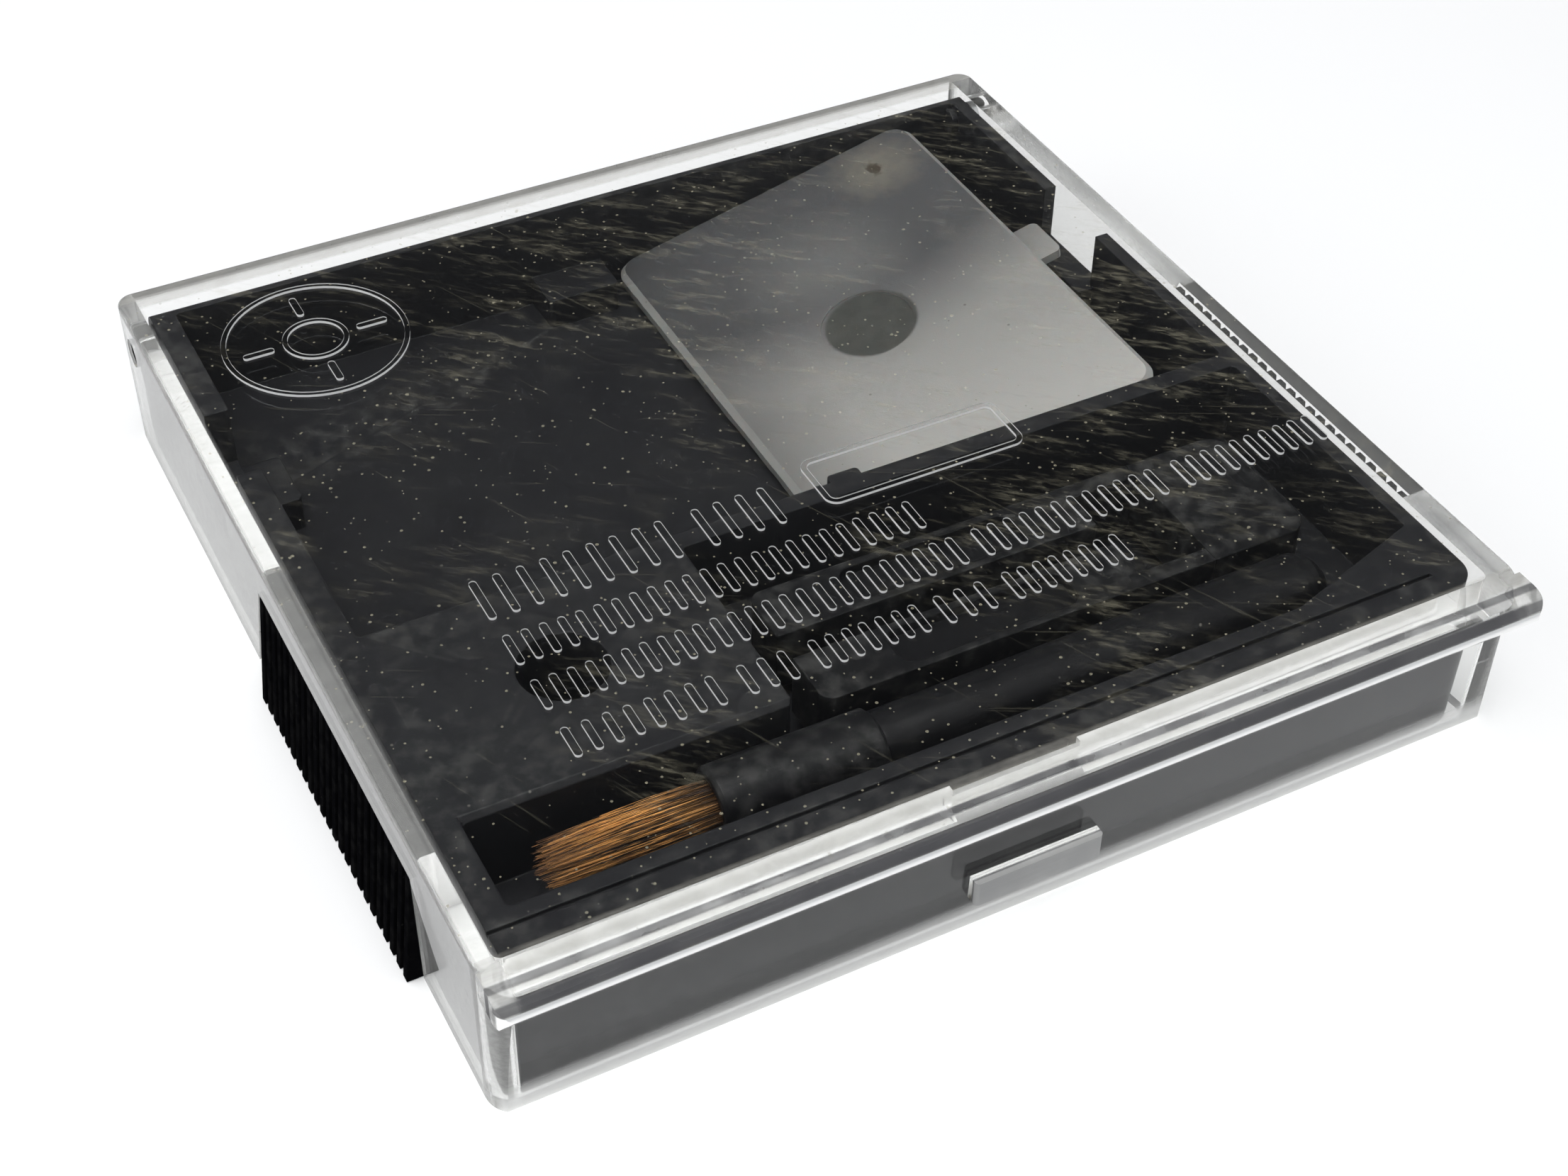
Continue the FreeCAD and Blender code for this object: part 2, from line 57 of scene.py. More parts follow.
class Graph:
    """A short way to write a material's node tree. Places and frequencies are in millimetres."""

    def __init__(self, name):
        self.material = bpy.data.materials.new(name)
        self.material.use_nodes = True
        self.tree = self.material.node_tree
        self.tree.nodes.clear()
        self.output = self.tree.nodes.new("ShaderNodeOutputMaterial")
        self.coords = None

    def put(self, socket, value):
        """Links a socket or writes a value into another node's input."""
        if isinstance(value, bpy.types.NodeSocket):
            self.tree.links.new(value, socket)
        else:
            socket.default_value = value

    def node(self, kind, inputs=None, **settings):
        made = self.tree.nodes.new("ShaderNode" + kind)
        for key, value in settings.items():
            setattr(made, key, value)
        for key, value in (inputs or {}).items():
            self.put(made.inputs[key], value)
        return made

    def place(self, scale=(1, 1, 1), offset=(0, 0, 0)):
        """Object coordinates, stretched by scale."""
        if self.coords is None:
            self.coords = self.node("TexCoord").outputs["Object"]
        factor = tuple(s / MM for s in scale)
        mapping = self.node("Mapping", {"Vector": self.coords, "Scale": factor, "Location": offset})
        return mapping.outputs["Vector"]

    def split(self, vector):
        """The X, Y and Z of a vector."""
        parts = self.node("SeparateXYZ", {"Vector": vector})
        return tuple(parts.outputs[axis] for axis in "XYZ")

    def join(self, x, y, z):
        """The vector with these X, Y and Z."""
        return self.node("CombineXYZ", {"X": x, "Y": y, "Z": z}).outputs["Vector"]

    def streaks(self, angle, along, across):
        """Coordinates turned about Z and stretched along that direction."""
        turned = self.node("VectorRotate", {"Vector": self.place(), "Angle": math.radians(angle)},
                           rotation_type="Z_AXIS").outputs["Vector"]
        return self.node("Mapping", {"Vector": turned, "Scale": (along, across, 1.0)}).outputs["Vector"]

    def noise_at(self, vector, frequency=1.0, detail=3.0, rough=0.5):
        made = self.node("TexNoise", {"Vector": vector, "Scale": frequency, "Detail": detail,
                                      "Roughness": rough})
        return made.outputs["Fac"]

    def noise(self, frequency, detail=3.0, rough=0.5, **place):
        return self.noise_at(self.place(**place), frequency, detail, rough)

    def dots(self, frequency, size, **place):
        """1 inside small round dots, one in each cell, and 0 around them."""
        made = self.node("TexVoronoi", {"Vector": self.place(**place), "Scale": frequency})
        return self.math("LESS_THAN", made.outputs["Distance"], size)

    def distance(self, vector, centre):
        made = self.node("VectorMath", {0: vector, 1: centre}, operation="DISTANCE")
        return made.outputs["Value"]

    def remap(self, value, low, high, to_low=0.0, to_high=1.0):
        """A straight ramp that stays level past its ends. It falls where low is above high."""
        made = self.node("MapRange", {"Value": value, "From Min": low, "From Max": high,
                                      "To Min": to_low, "To Max": to_high})
        made.clamp = True
        return made.outputs["Result"]

    def band(self, value, low, high, soft):
        """1 between low and high, fading to 0 over a soft border."""
        return self.times(self.remap(value, low - soft, low), self.remap(value, high + soft, high))

    def math(self, operation, a, b):
        return self.node("Math", {0: a, 1: b}, operation=operation).outputs[0]

    def minus(self, a, b):
        return self.math("SUBTRACT", a, b)

    def least(self, a, b):
        return self.math("MINIMUM", a, b)

    def times(self, *values):
        return functools.reduce(lambda a, b: self.math("MULTIPLY", a, b), values)

    def most(self, *values):
        return functools.reduce(lambda a, b: self.math("MAXIMUM", a, b), values)

    def plus(self, *values):
        return functools.reduce(lambda a, b: self.math("ADD", a, b), values)

    def mix(self, factor, a, b):
        """Mix of two colours."""
        made = self.node("Mix", data_type="RGBA")
        self.put(made.inputs[0], factor)
        self.put(made.inputs[6], a)
        self.put(made.inputs[7], b)
        return made.outputs[2]

    def bump(self, height, distance, strength, normal=None):
        made = self.node("Bump", {"Height": height, "Distance": distance * MM, "Strength": strength})
        if normal is not None:
            self.put(made.inputs["Normal"], normal)
        return made.outputs["Normal"]

    def soft_edges(self, radius):
        """Shading normal that rounds sharp edges over a radius."""
        return self.node("Bevel", {"Radius": radius * MM}, samples=6).outputs["Normal"]

    def facing_up(self):
        """The Z of the surface's normal: 1 on a level face and 0 on an upright one."""
        return self.split(self.node("NewGeometry").outputs["Normal"])[2]

    def shader(self, kind, **inputs):
        names = {key.replace("_", " "): value for key, value in inputs.items()}
        return self.node("Bsdf" + kind, names).outputs[0]

    def mix_shader(self, factor, a, b):
        made = self.node("MixShader")
        self.put(made.inputs[0], factor)
        self.put(made.inputs[1], a)
        self.put(made.inputs[2], b)
        return made.outputs[0]

    def diffuse_both_ways(self, colour, share):
        """A matt surface that also lets a share of the light through."""
        return self.mix_shader(share, self.shader("Diffuse", Color=colour),
                               self.shader("Translucent", Color=colour))

    def finish(self, shader):
        self.tree.links.new(shader, self.output.inputs["Surface"])
        return self.material


def box_mm(node_name):
    """The lowest and the highest corner of a CAD node's box, in millimetres."""
    low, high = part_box(node_name)
    return low / MM, high / MM


Depths = collections.namedtuple("Depths", "left right front back top height")


def depths(g, node_name):
    """How far a point lies inside the sides of a node's box and above its foot, in millimetres."""
    low, high = box_mm(node_name)
    x, y, z = g.split(g.place())
    return Depths(left=g.minus(x, low.x), right=g.minus(high.x, x), front=g.minus(y, low.y),
                  back=g.minus(high.y, y), top=g.minus(high.z, z), height=g.minus(z, low.z))


# ------------------------------------------------------------------ clear cover

# Millimetres inside the cover's box. A pair is a ramp: where a zone begins and where it is full.
# Front depths are measured from the nose of the lip.
WALL_DEPTH = (1.5, 1.2)
CORNER_DEPTH = (1.7, 1.2)
BACK_WALL_DEPTH = (1.5, 1.1)
BACK_EDGE_DEPTH = (0.32, 0.22)
BACK_RIM_DEPTH = (1.9, 1.5)
FRONT_RIM_DEPTH = (4.0, 3.6)
FRONT_WALL_DEPTH = (3.7, 3.2)
FRONT_FACE_DEPTH = (3.0, 2.6)
LIP_ROOT_DEPTH = (1.98, 1.80)
LIP_BROW_DEPTH = (1.0, 0.8)
LIP_NOSE_DEPTH = (0.7, 0.55)
BAR_FACE_DEPTH = (1.82, 1.72)
BAR_TOP_HEIGHT = (5.6, 5.2)
BAR_TO_LIP_HEIGHT = (5.0, 6.0)
FOOT_HAZE_HEIGHT = (2.5, 1.0)
FOOT_PAINTED_LIGHT_HEIGHT = (2.3, 0.9)
MARK_SIDES_DEPTH = 0.19

# Lines on the cover: lower limit, upper limit and softness in millimetres.
DUSTY_RIM_DEPTH = (2.2, 3.55, 0.25)
LIP_STEP_DEPTH = (1.40, 1.85, 0.12)
LIP_BROW_HEIGHT = (11.22, 11.62, 0.06)
LIP_GLEAM_HEIGHT = (10.05, 11.10, 0.05)

# Directions in degrees, and noise frequencies along and across them.
SMEAR_ANGLE = 42
SMEAR_STRETCH = (0.22, 0.95)
FLECK_STRETCH = (0.85, 3.0)
SCRATCH_STRETCH = {28: (0.07, 2.4), 66: (0.07, 2.0)}

# How fast the smears thicken for each millimetre to the right and to the back.
SMEAR_LEAN = (0.0026, 0.0028)

# How much of the surface each kind of dirt, haze, line, painted shade or painted light covers where it is
# full. The film on the rims lies between two values, and the haze below the lip runs from the catch bar's
# value to the lip's.
SMEAR_COVER = 0.27
DUST_COVER = 0.42
SCRATCH_COVER = 0.05
RIM_FILM_COVER = (0.18, 0.46)
STEP_COVER = 0.78
BROW_COVER = 0.66
BACK_EDGE_COVER = 0.55
LEFT_HAZE = 0.28
RIGHT_HAZE = 0.10
BACK_HAZE = 0.25
CORNER_HAZE = 0.45
FOOT_HAZE = 0.45
BAR_AND_LIP_HAZE = (0.55, 0.10)
# painted light on the foot of the front wall and on the catch bar
FOOT_PAINTED_LIGHT_COVER = 0.68
BAR_PAINTED_LIGHT_COVER = 0.36

CLEAR = (0.985, 0.988, 0.982, 1)
SPECULAR = (0.2, 0.2, 0.21, 1)
SMEARED_DIRT = (0.42, 0.39, 0.29, 1)
RIM_DUST = (0.36, 0.35, 0.32, 1)
# painted highlight: this white on the marks' steep sides stands in for glints, and on the wall's foot and
# the catch bar for light carried through the plastic
PAINTED_HIGHLIGHT_WHITE = (0.94, 0.94, 0.93, 1)
GLEAM_WHITE = (0.98, 0.98, 0.97, 1)
LINE_SHADE = (0.06, 0.06, 0.065, 1)
HAZE_FACING = (0.72, 0.72, 0.70, 1)
# painted shade: the haze turns this dark grey where the surface turns away from the camera
HAZE_PAINTED_EDGE_SHADE = (0.22, 0.22, 0.22, 1)
SHADOW_TINT = (0.95, 0.955, 0.95, 1)


def smears(g):
    """Wiped grime as a 0..1 mask: long smears broken into flecks, in patches, most at the back right."""
    x, y, _ = g.split(g.place())
    lean = g.plus(g.times(x, SMEAR_LEAN[0]), g.times(y, SMEAR_LEAN[1]))
    patches = g.plus(g.noise(0.075), lean)
    wiped = g.noise_at(g.streaks(SMEAR_ANGLE, *SMEAR_STRETCH), detail=4.0, rough=0.55)
    broken = g.noise_at(g.streaks(SMEAR_ANGLE, *FLECK_STRETCH), detail=9.0, rough=0.72)
    return g.times(g.remap(wiped, 0.52, 0.68), g.remap(broken, 0.45, 0.66), g.remap(patches, 0.42, 0.60))


def scratches(g):
    """Fine long scratches in two directions, as a 0..1 mask."""
    ways = [g.streaks(angle, *stretch) for angle, stretch in SCRATCH_STRETCH.items()]
    return g.most(*[g.remap(g.noise_at(way, detail=5.0, rough=0.6), 0.665, 0.70) for way in ways])


def grime_on_top(g):
    """Smears, dust and scratches on the top face and a dusty film on its rims, as a 0..1 cover."""
    deep = depths(g, "clear_cover")
    dust = g.dots(1.1, g.remap(g.noise(0.5), 0.38, 0.70, 0.045, 0.14))
    rims = g.most(g.band(deep.front, *DUSTY_RIM_DEPTH), g.remap(deep.back, *WALL_DEPTH))
    film = g.times(rims, g.remap(g.noise(0.7, detail=6.0, rough=0.7), 0.3, 0.75, *RIM_FILM_COVER))
    return g.most(g.times(smears(g), SMEAR_COVER), g.times(dust, DUST_COVER), film,
                  g.times(scratches(g), SCRATCH_COVER))


def dark_lines(g):
    """Dark lines along the lip and the back edge, where they show the shaded inside of the rim."""
    deep = depths(g, "clear_cover")
    step = g.times(g.band(deep.front, *LIP_STEP_DEPTH), STEP_COVER)
    brow = g.times(g.band(deep.height, *LIP_BROW_HEIGHT), g.remap(deep.front, *LIP_BROW_DEPTH), BROW_COVER)
    back_edge = g.times(g.remap(deep.back, *BACK_EDGE_DEPTH), BACK_EDGE_COVER)
    uneven = g.remap(g.noise(0.35, detail=4.0), 0.35, 0.65, 0.8, 1.1)
    return g.times(g.most(step, brow, back_edge), uneven)


def wall_haze(g):
    """Fine scuffing of the walls, corners, foot, lip and catch bar as a 0..1 cover."""
    deep = depths(g, "clear_cover")
    front = g.remap(deep.front, *FRONT_WALL_DEPTH)
    cover = g.most(
        g.times(g.remap(deep.left, *WALL_DEPTH), LEFT_HAZE),
        g.times(g.remap(deep.right, *WALL_DEPTH), RIGHT_HAZE),
        g.times(g.remap(deep.back, *BACK_WALL_DEPTH), BACK_HAZE),
        g.times(g.remap(g.least(deep.left, deep.right), *CORNER_DEPTH), front, CORNER_HAZE),
        g.times(g.remap(deep.height, *FOOT_HAZE_HEIGHT), front, FOOT_HAZE),
        g.times(g.remap(deep.front, *LIP_ROOT_DEPTH),
                g.remap(deep.height, *BAR_TO_LIP_HEIGHT, *BAR_AND_LIP_HAZE)),
    )
    wear = g.noise(1.0, detail=5.0, rough=0.6, scale=(0.22, 2.5, 2.5))
    return g.times(cover, g.remap(wear, 0.30, 0.62, 0.75, 1.05))


def painted_highlights(g, up):
    """Painted highlights as a 0..1 mask: painted glints on the steep sides of the raised marks, and painted
    light on the foot of the front wall and on the catch bar.
    """
    deep = depths(g, "clear_cover")
    seen_at_first = g.math("LESS_THAN", g.node("LightPath").outputs["Ray Depth"], 1.5)
    on_marks = g.math("LESS_THAN", deep.top, MARK_SIDES_DEPTH)
    marks = g.times(on_marks, g.math("LESS_THAN", up, 0.5), seen_at_first)
    foot = g.times(g.remap(deep.height, *FOOT_PAINTED_LIGHT_HEIGHT), g.remap(deep.front, *FRONT_FACE_DEPTH),
                   FOOT_PAINTED_LIGHT_COVER)
    bar = g.times(g.remap(deep.front, *BAR_FACE_DEPTH), g.remap(deep.height, *BAR_TOP_HEIGHT),
                  BAR_PAINTED_LIGHT_COVER)
    return g.most(marks, foot, bar)


def lip_gleam(g):
    """The white line along the lower edge of the lip, which mirrors the bright ground."""
    deep = depths(g, "clear_cover")
    return g.times(g.band(deep.height, *LIP_GLEAM_HEIGHT), g.remap(deep.front, *LIP_NOSE_DEPTH))


def clear_plastic():
    """Clear case plastic: grimy on top, scuffed on the walls, with painted highlights round the raised
    marks, painted light on the wall's foot and the catch bar, and painted shade where the haze turns away
    from the camera.
    """
    g = Graph("clear_plastic")
    up = g.facing_up()
    clear = g.shader("Principled", Base_Color=CLEAR, Roughness=0.02, IOR=1.5, Transmission_Weight=1.0,
                     Specular_Tint=SPECULAR, Normal=g.bump(g.noise(0.35, detail=2.0), 0.02, 0.25))
    # painted shade on the haze where the surface turns away from the camera
    turned_away = g.remap(g.node("LayerWeight", {"Blend": 0.5}).outputs["Facing"], 0.55, 0.95)
    haze = g.diffuse_both_ways(g.mix(turned_away, HAZE_FACING, HAZE_PAINTED_EDGE_SHADE), 0.5)
    deep = depths(g, "clear_cover")
    on_rim = g.most(g.remap(deep.front, *FRONT_RIM_DEPTH), g.remap(deep.back, *BACK_RIM_DEPTH))
    film = g.shader("Diffuse", Color=g.mix(on_rim, SMEARED_DIRT, RIM_DUST), Roughness=0.5)
    shade = g.shader("Diffuse", Color=LINE_SHADE)
    # painted highlight and painted light: a white matt shader on the marks' sides, the foot of the front
    # wall and the catch bar
    white = g.diffuse_both_ways(PAINTED_HIGHLIGHT_WHITE, 0.35)
    gleam = g.shader("Anisotropic", Color=GLEAM_WHITE, Roughness=0.2)

    surface = g.mix_shader(wall_haze(g), clear, haze)
    surface = g.mix_shader(g.times(grime_on_top(g), g.remap(up, 0.6, 0.95)), surface, film)
    surface = g.mix_shader(dark_lines(g), surface, shade)
    surface = g.mix_shader(g.times(painted_highlights(g, up), 0.95), surface, white)
    surface = g.mix_shader(g.times(lip_gleam(g), 0.92), surface, gleam)
    is_shadow = g.node("LightPath").outputs["Is Shadow Ray"]
    let_light_in = g.shader("Transparent", Color=SHADOW_TINT)
    return g.finish(g.mix_shader(g.times(is_shadow, 0.95), surface, let_light_in))


# ------------------------------------------------------------------ black plastic

# Ramps in millimetres inside the tray's box.
GRIP_DEPTH = (2.6, 2.1)
TRAY_FRONT_DEPTH = (0.45, 0.25)

WORN_EDGE = (0.06, 0.06, 0.058, 1)
DUST = (0.20, 0.19, 0.165, 1)
# painted shade for the grips and the front face
OUTSIDE_PAINTED_SHADE = (0.0015, 0.0015, 0.0018, 1)


def moulded_black(name, level, roughness, grain):
    """Black moulded plastic: fine grain, uneven gloss, a little dust and paler worn edges.

    The outer faces at the grips and the front are duller, and darkened by painted shade.
    """
    g = Graph(name)
    deep = depths(g, "base_tray")
    fine = g.noise(grain, detail=4.0, rough=0.6)
    broad = g.noise(0.25)
    pointiness = g.node("NewGeometry").outputs["Pointiness"]
    worn = g.times(g.remap(pointiness, 0.53, 0.60), g.remap(g.noise(0.9), 0.45, 0.7), 0.4)
    dust = g.times(g.dots(0.9, g.remap(g.noise(0.6), 0.4, 0.7, 0.01, 0.11)), 0.35)
    grip = g.remap(g.least(deep.left, deep.right), *GRIP_DEPTH)
    outside = g.most(grip, g.times(g.remap(deep.front, *TRAY_FRONT_DEPTH), 0.55))

    base = g.mix(broad, (level, level, level * 1.2, 1), (level * 1.3, level * 1.35, level * 1.5, 1))
    base = g.mix(worn, base, WORN_EDGE)
    base = g.mix(dust, base, DUST)
    # painted shade: the grips and the front face are darkened towards near-black
    base = g.mix(g.times(outside, 0.8), base, OUTSIDE_PAINTED_SHADE)
    rough = g.remap(g.plus(fine, broad), 0.7, 1.3, roughness - 0.07, roughness + 0.1)
    gloss = g.times(g.minus(1.0, outside), 0.20)
    normal = g.bump(fine, 0.03, 0.15, g.soft_edges(0.18))
    return g.finish(g.shader("Principled", Base_Color=base, Roughness=rough, Normal=normal,
                             Specular_IOR_Level=gloss))


# ------------------------------------------------------------------ frosted screen

# Millimetres from the lowest corner of the screen's box.
SPOT_PLACE = (12.2, 18.0, 0.0)
SPOT_RADIUS = 3.5
SPOT_SOFTNESS = 0.25
CLOUD_PLACE = (12.27, 25.4, 5.15)
CLOUD_REACH = (7.5, 1.5)
SMUDGE_PLACE = (20.87, 33.1, 0.0)
SHADE_MIDDLE = (13.77, 16.4)
SHADE_CURVE = 0.02
SHADE_WANDER = 3.0
SHADE_BORDER = (-3.5, 4.5)
PALEST_DEPTH = (13.4, 0.4)
DARK_LEFT_DEPTH = (6.77, 0.27)

# Painted light and shade on the screen: shade behind the curved boundary, a pale cloud of light in it,
# light towards the front, shade at the left and a highlight on the bevelled edges. The spot, stain, crumb
# and specks are the screen's own marks.
SCREEN_PAINTED_SHADE = (0.052, 0.052, 0.055, 1)
SCREEN_PAINTED_LIGHT_CLOUD = (0.096, 0.096, 0.095, 1)
SCREEN_PAINTED_LIGHT_PALE = (0.205, 0.201, 0.193, 1)
SCREEN_PAINTED_LIGHT_PALEST = (0.315, 0.308, 0.295, 1)
SCREEN_PAINTED_LEFT_SHADE = (0.024, 0.024, 0.025, 1)
SCREEN_PAINTED_EDGE_HIGHLIGHT = (0.26, 0.26, 0.25, 1)
SPOT_DARK = (0.020, 0.021, 0.019, 1)
SPOT_LIGHT = (0.055, 0.057, 0.051, 1)
STAIN = (0.17, 0.155, 0.12, 1)
BROWN_CRUMB = (0.030, 0.020, 0.012, 1)
SPECK = (0.05, 0.045, 0.04, 1)


def frosted_screen():
    """Ground acrylic with painted light and shade: painted light towards the front, painted shade behind a
    curved boundary with a cloud of painted light in it, painted shade at the left and painted highlights on
    the bevelled edges; a grey spot, a stain and specks.
    """
    g = Graph("frosted_screen")
    deep = depths(g, "focusing_screen")
    flat = g.join(deep.left, deep.front, 0.0)
    solid = g.join(deep.left, deep.front, deep.height)

    off_axis = g.minus(deep.left, SHADE_MIDDLE[0])
    boundary = g.plus(g.times(off_axis, off_axis, SHADE_CURVE), SHADE_MIDDLE[1],
                      g.times(g.noise(0.10, detail=2.0), SHADE_WANDER))
    in_front = g.remap(g.minus(boundary, deep.front), *SHADE_BORDER)
    cloud = g.remap(g.distance(solid, CLOUD_PLACE), *CLOUD_REACH)
    # painted shade behind the curved boundary with a cloud of painted light in it, and painted light in
    # front of the boundary
    behind = g.mix(cloud, SCREEN_PAINTED_SHADE, SCREEN_PAINTED_LIGHT_CLOUD)
    pale = g.mix(g.remap(deep.front, *PALEST_DEPTH), SCREEN_PAINTED_LIGHT_PALE, SCREEN_PAINTED_LIGHT_PALEST)
    base = g.mix(in_front, behind, pale)
    # painted shade at the left
    base = g.mix(g.remap(deep.left, *DARK_LEFT_DEPTH, 0.0, 0.55), base, SCREEN_PAINTED_LEFT_SHADE)

    mottled = g.mix(g.noise(0.9, detail=4.0), SPOT_DARK, SPOT_LIGHT)
    in_spot = g.remap(g.distance(flat, SPOT_PLACE), SPOT_RADIUS, SPOT_RADIUS - SPOT_SOFTNESS)
    base = g.mix(in_spot, base, mottled)
    # painted highlight on the bevelled edges, where the surface tilts away from the plate
    base = g.mix(g.remap(g.facing_up(), 0.955, 0.90, 0.0, 0.75), base, SCREEN_PAINTED_EDGE_HIGHLIGHT)

    ragged = g.plus(g.distance(flat, SMUDGE_PLACE), g.times(g.noise(1.2, detail=5.0), 3.0))
    base = g.mix(g.remap(ragged, 5.5, 2.5, 0.0, 0.5), base, STAIN)
    base = g.mix(g.remap(ragged, 2.2, 1.9, 0.0, 0.9), base, BROWN_CRUMB)
    base = g.mix(g.times(g.dots(0.5, 0.055, offset=(3, 1, 2)), 0.75), base, SPECK)
    normal = g.bump(g.noise(9.0, detail=2.0), 0.02, 0.35)
    return g.finish(g.shader("Principled", Base_Color=base, Roughness=0.45, Specular_IOR_Level=0.35,
                             Transmission_Weight=0.12, Subsurface_Weight=0.15,
                             Subsurface_Scale=0.5 * MM, Normal=normal))


# ------------------------------------------------------------------ bristles

BORE_DEPTH = 4.0
STRANDS = 900
STRAND_POINTS = 7
STRAND_RADIUS = 0.027
STRAND_THINNING = 0.6
STRAND_DRIFT = 0.16
STRAND_WAVE = (0.02, 0.10)
STRAND_BENDS = 2.2
TUFT_CLEARANCE = 0.08
ROOT_DEPTH = 0.5
TUFT_RADIUS = 1.15
TUFT_SWELL = 0.50
TUFT_TAPER = 0.05

# Strand lengths as shares of the tuft's length.
LONGEST = 0.99
RAGGEDNESS = 0.38
TIP_ROUNDING = 0.05

# Ramps in millimetres from the collar's mouth, away from the handle.
ROOT_SHADE = (-0.3, 3.6)
TIP_SHADE = (7.0, 11.0)

# partly the hair's own darker strands and partly painted shade in the gaps between strands
HAIR_DARK_STRAND_AND_GAP_SHADE = (0.008, 0.003, 0.001, 1)
HAIR_GOLD = (0.82, 0.38, 0.10, 1)
# painted shade in the collar's mouth
HAIR_ROOT_PAINTED_SHADE = (0.020, 0.009, 0.004, 1)
HAIR_TIP = (0.10, 0.045, 0.02, 1)


def hair():
    """Ginger hair: painted shade in the collar's mouth, darker at the tip, golden between, each strand
    different, partly by painted shade between strands.
    """
    g = Graph("bristle_hair")
    from_mouth = g.minus(depths(g, "brush_bristles").right, BORE_DEPTH)
    strand = g.noise(1.0, detail=5.0, rough=0.7, scale=(0.10, 3.4, 3.4))
    root = g.minus(1.0, g.remap(from_mouth, *ROOT_SHADE))
    tip = g.remap(from_mouth, *TIP_SHADE, 0.0, 0.7)
    # dark strands: partly the hair's own colour, partly painted shade between strands
    base = g.mix(g.remap(strand, 0.475, 0.575), HAIR_DARK_STRAND_AND_GAP_SHADE, HAIR_GOLD)
    # painted shade at the root, in the collar's mouth
    base = g.mix(root, base, HAIR_ROOT_PAINTED_SHADE)
    base = g.mix(tip, base, HAIR_TIP)
    return g.finish(g.shader("Principled", Base_Color=base, Roughness=0.38, Specular_IOR_Level=0.4))


def tuft_radius(t):
    """Radius of the tuft in millimetres, at t = 0 in the collar to t = 1 at the tip."""
    return TUFT_RADIUS + TUFT_SWELL * math.sin(math.pi * (0.1 + t * 0.62)) - TUFT_TAPER * t ** 2


def bristle_tuft(material):
    """Loose hairs inside the tuft's space, joined in one curve object. The tip is blunt and ragged."""
    rng = random.Random(7)
    low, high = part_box("brush_bristles")
    axis_y = (low.y + high.y) / 2
    axis_z = (low.z + high.z) / 2
    limit = (high.y - low.y) / 2 - TUFT_CLEARANCE * MM
    root_x = high.x - ROOT_DEPTH * MM
    curve = bpy.data.curves.new("bristle_tuft", "CURVE")
    curve.dimensions = "3D"
    curve.bevel_depth = STRAND_RADIUS * MM
    curve.bevel_resolution = 1
    for _ in range(STRANDS):
        turn = rng.uniform(0, 2 * math.pi)
        share = math.sqrt(rng.random())
        length = (root_x - low.x) * (LONGEST - RAGGEDNESS * rng.random() ** 1.5 - TIP_ROUNDING * share)
        drift = Vector((0, rng.gauss(0, STRAND_DRIFT), rng.gauss(0, STRAND_DRIFT))) * MM
        wave = rng.uniform(*STRAND_WAVE) * MM
        phase = rng.uniform(0, 2 * math.pi)
        spline = curve.splines.new("POLY")
        spline.points.add(STRAND_POINTS - 1)
        for index, point in enumerate(spline.points):
            t = index / (STRAND_POINTS - 1)
            radius = share * tuft_radius(t) * MM
            sway = wave * math.sin(phase + STRAND_BENDS * math.pi * t) * t
            across = Vector((0, radius * math.cos(turn) + sway, radius * math.sin(turn) - sway)) + drift * t
            if across.length > limit:
                across *= limit / across.length
            point.co = (root_x - length * t, axis_y + across.y, axis_z + across.z, 1)
            point.radius = 1.0 - STRAND_THINNING * t
    tuft = bpy.data.objects.new("bristle_tuft", curve)
    bpy.context.scene.collection.objects.link(tuft)
    curve.materials.append(material)
    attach(tuft, "brush")
    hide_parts("brush_bristles")


# ------------------------------------------------------------------ CAD nodes

def dress_cad_nodes():
    """Each CAD node keeps its shape and takes a material."""
    tray_black = moulded_black("tray_black", level=0.0075, roughness=0.42, grain=6.0)
    tool_black = moulded_black("tool_black", level=0.0035, roughness=0.36, grain=7.0)
    tray_nodes = ("base_tray", "hinge_pin_left", "hinge_pin_right")
    tool_nodes = ("brush_handle", "brush_collar", "tweezer_arm_front", "tweezer_arm_back", "tweezer_tail")
    dressed = {"clear_cover": clear_plastic(), "focusing_screen": frosted_screen()}
    dressed.update({node_name: tray_black for node_name in tray_nodes})
    dressed.update({node_name: tool_black for node_name in tool_nodes})
    for node_name, material in dressed.items():
        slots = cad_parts[node_name].data.materials
        slots.clear()
        slots.append(material)


# ------------------------------------------------------------------ floor, light, camera

FLOOR_GAP = 0.06
FLOOR_REACH = 3.0
PAPER = ((0.95, 0.95, 0.952, 1), (0.975, 0.975, 0.972, 1))

ROOM_TINT = (0.95, 0.97, 1.0, 1)
ROOM_BRIGHT = 0.64
ROOM_DARK = 0.07
DARK_SIDE = (0.55, 0.86)
MIRROR_DIRECTION = Vector((0.345, 0.653, 0.674))

CAMERA_PLACE = Vector((-58.47, -111.97, 112.69))
CAMERA_RIGHT = Vector((0.8877, -0.4603, 0.0094))
CAMERA_UP = Vector((0.3037, 0.6007, 0.7396))
CAMERA_LENS = 55.62


def floor():
    """White paper, a hair below the case so that the two surfaces don't coincide."""
    mesh = bpy.data.meshes.new("floor")
    reach = FLOOR_REACH
    corners = [(-reach, -reach, 0), (reach, -reach, 0), (reach, reach, 0), (-reach, reach, 0)]
    mesh.from_pydata(corners, [], [(0, 1, 2, 3)])
    plane = bpy.data.objects.new("floor", mesh)
    plane.location.z = -FLOOR_GAP * MM
    bpy.context.scene.collection.objects.link(plane)
    g = Graph("floor_paper")
    tone = g.mix(g.noise(0.02, detail=2.0), *PAPER)
    mesh.materials.append(g.finish(g.shader("Principled", Base_Color=tone, Roughness=0.7)))


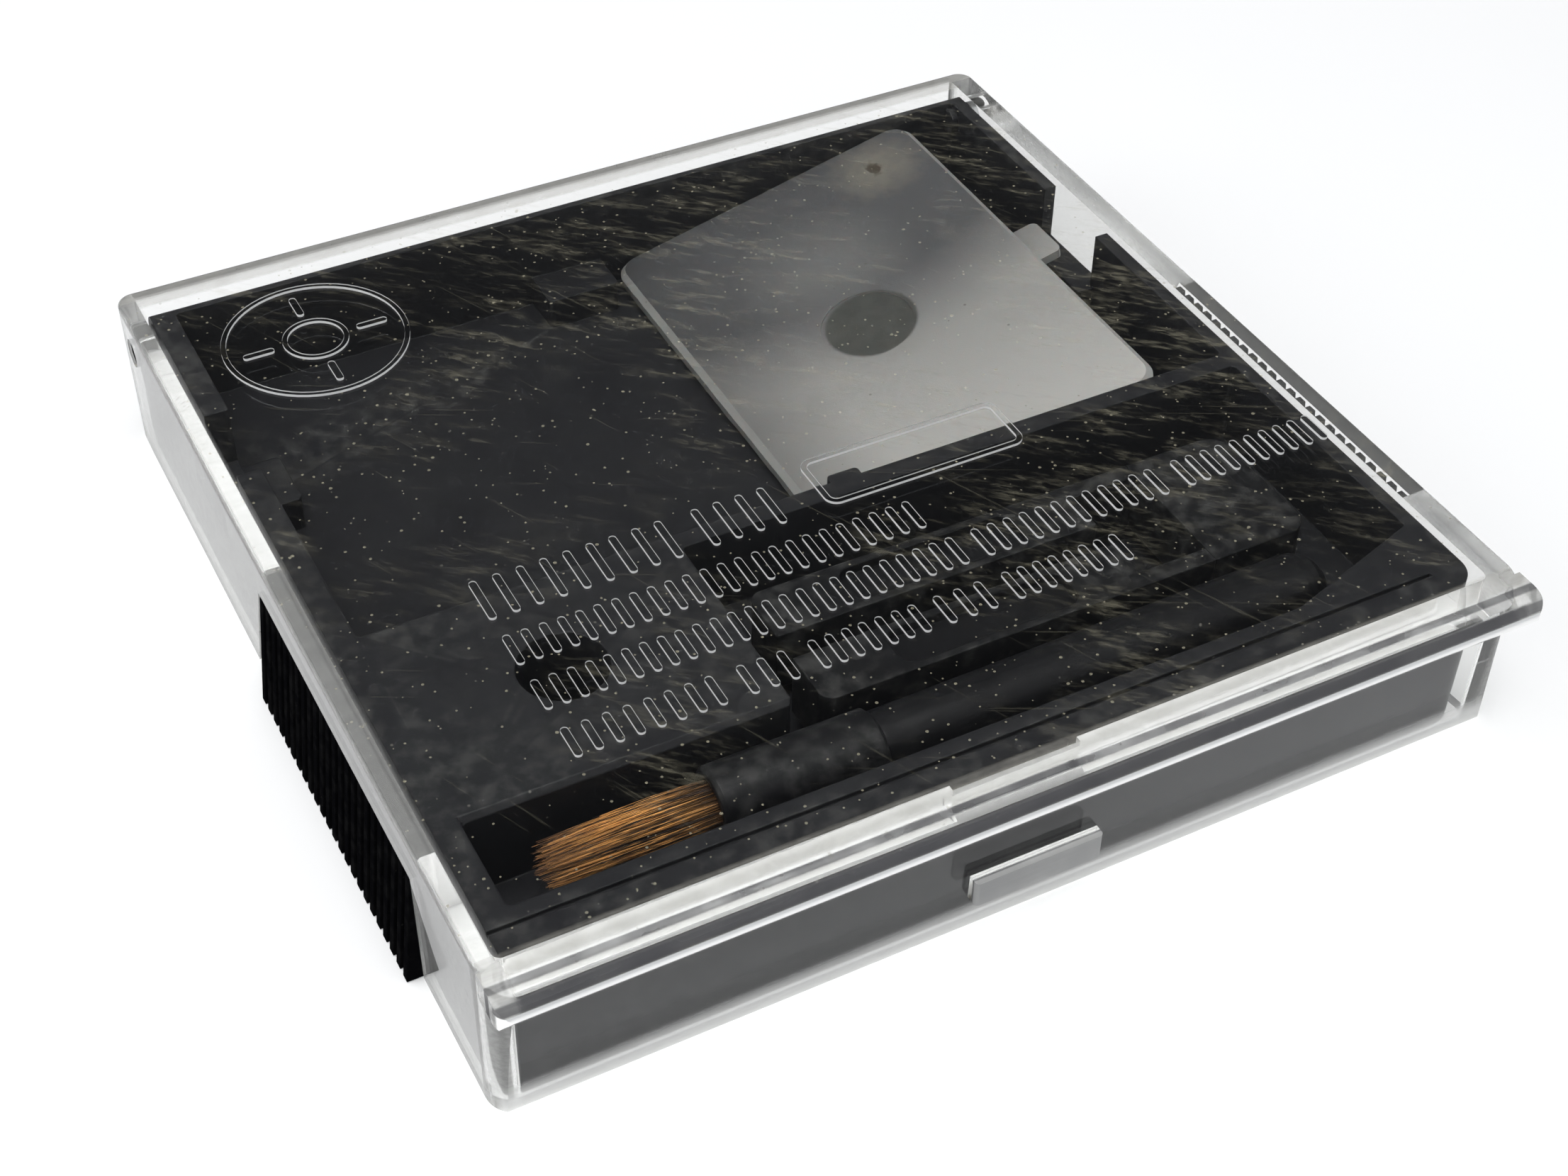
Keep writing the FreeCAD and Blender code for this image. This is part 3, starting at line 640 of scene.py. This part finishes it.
def area_light(name, place, target, size, power):
    light = bpy.data.lights.new(name, "AREA")
    light.shape = "RECTANGLE"
    light.size, light.size_y = size
    light.energy = power
    lamp = bpy.data.objects.new(name, light)
    bpy.context.scene.collection.objects.link(lamp)
    lamp.location = place
    lamp.rotation_euler = (Vector(target) - Vector(place)).to_track_quat("-Z", "Y").to_euler()


def room():
    """A pale room that is dark at the back right, the side that the cover mirrors to the camera."""
    world = bpy.data.worlds.new("soft_room")
    world.use_nodes = True
    tree = world.node_tree
    background = tree.nodes["Background"]
    coords = tree.nodes.new("ShaderNodeTexCoord")
    toward = tree.nodes.new("ShaderNodeVectorMath")
    toward.operation = "DOT_PRODUCT"
    toward.inputs[1].default_value = MIRROR_DIRECTION.normalized()
    ramp = tree.nodes.new("ShaderNodeMapRange")
    ramp.inputs["From Min"].default_value, ramp.inputs["From Max"].default_value = DARK_SIDE
    ramp.inputs["To Min"].default_value = ROOM_BRIGHT
    ramp.inputs["To Max"].default_value = ROOM_DARK
    tree.links.new(coords.outputs["Generated"], toward.inputs[0])
    tree.links.new(toward.outputs["Value"], ramp.inputs["Value"])
    tree.links.new(ramp.outputs["Result"], background.inputs["Strength"])
    background.inputs["Color"].default_value = ROOM_TINT
    bpy.context.scene.world = world


def lights():
    room()
    area_light("top_panel", place=(-0.10, -0.05, 0.60), target=(0, 0, 0), size=(0.45, 0.35), power=2.75)
    area_light("left_panel", place=(-0.55, 0.10, 0.30), target=(0, 0, 0), size=(0.4, 0.4), power=0.5)


def camera():
    """The camera: its place and directions come from a fit to the straight edges of the case."""
    data = bpy.data.cameras.new("camera")
    data.lens = CAMERA_LENS
    data.sensor_width = 36.0
    data.clip_start = 0.005
    view = bpy.data.objects.new("camera", data)
    bpy.context.scene.collection.objects.link(view)
    right = CAMERA_RIGHT.normalized()
    back = right.cross(CAMERA_UP).normalized()
    up = back.cross(right)
    turn = Matrix((right, up, back)).transposed().to_4x4()
    view.matrix_world = Matrix.Translation(CAMERA_PLACE * MM) @ turn
    bpy.context.scene.camera = view


def light_paths():
    """Plain tones, and enough bounces for light to cross the clear walls."""
    scene = bpy.context.scene
    scene.view_settings.view_transform = "Standard"
    scene.cycles.max_bounces = 16
    scene.cycles.glossy_bounces = 12
    scene.cycles.transmission_bounces = 16


light_paths()
dress_cad_nodes()
bristle_tuft(hair())
floor()
lights()
camera()
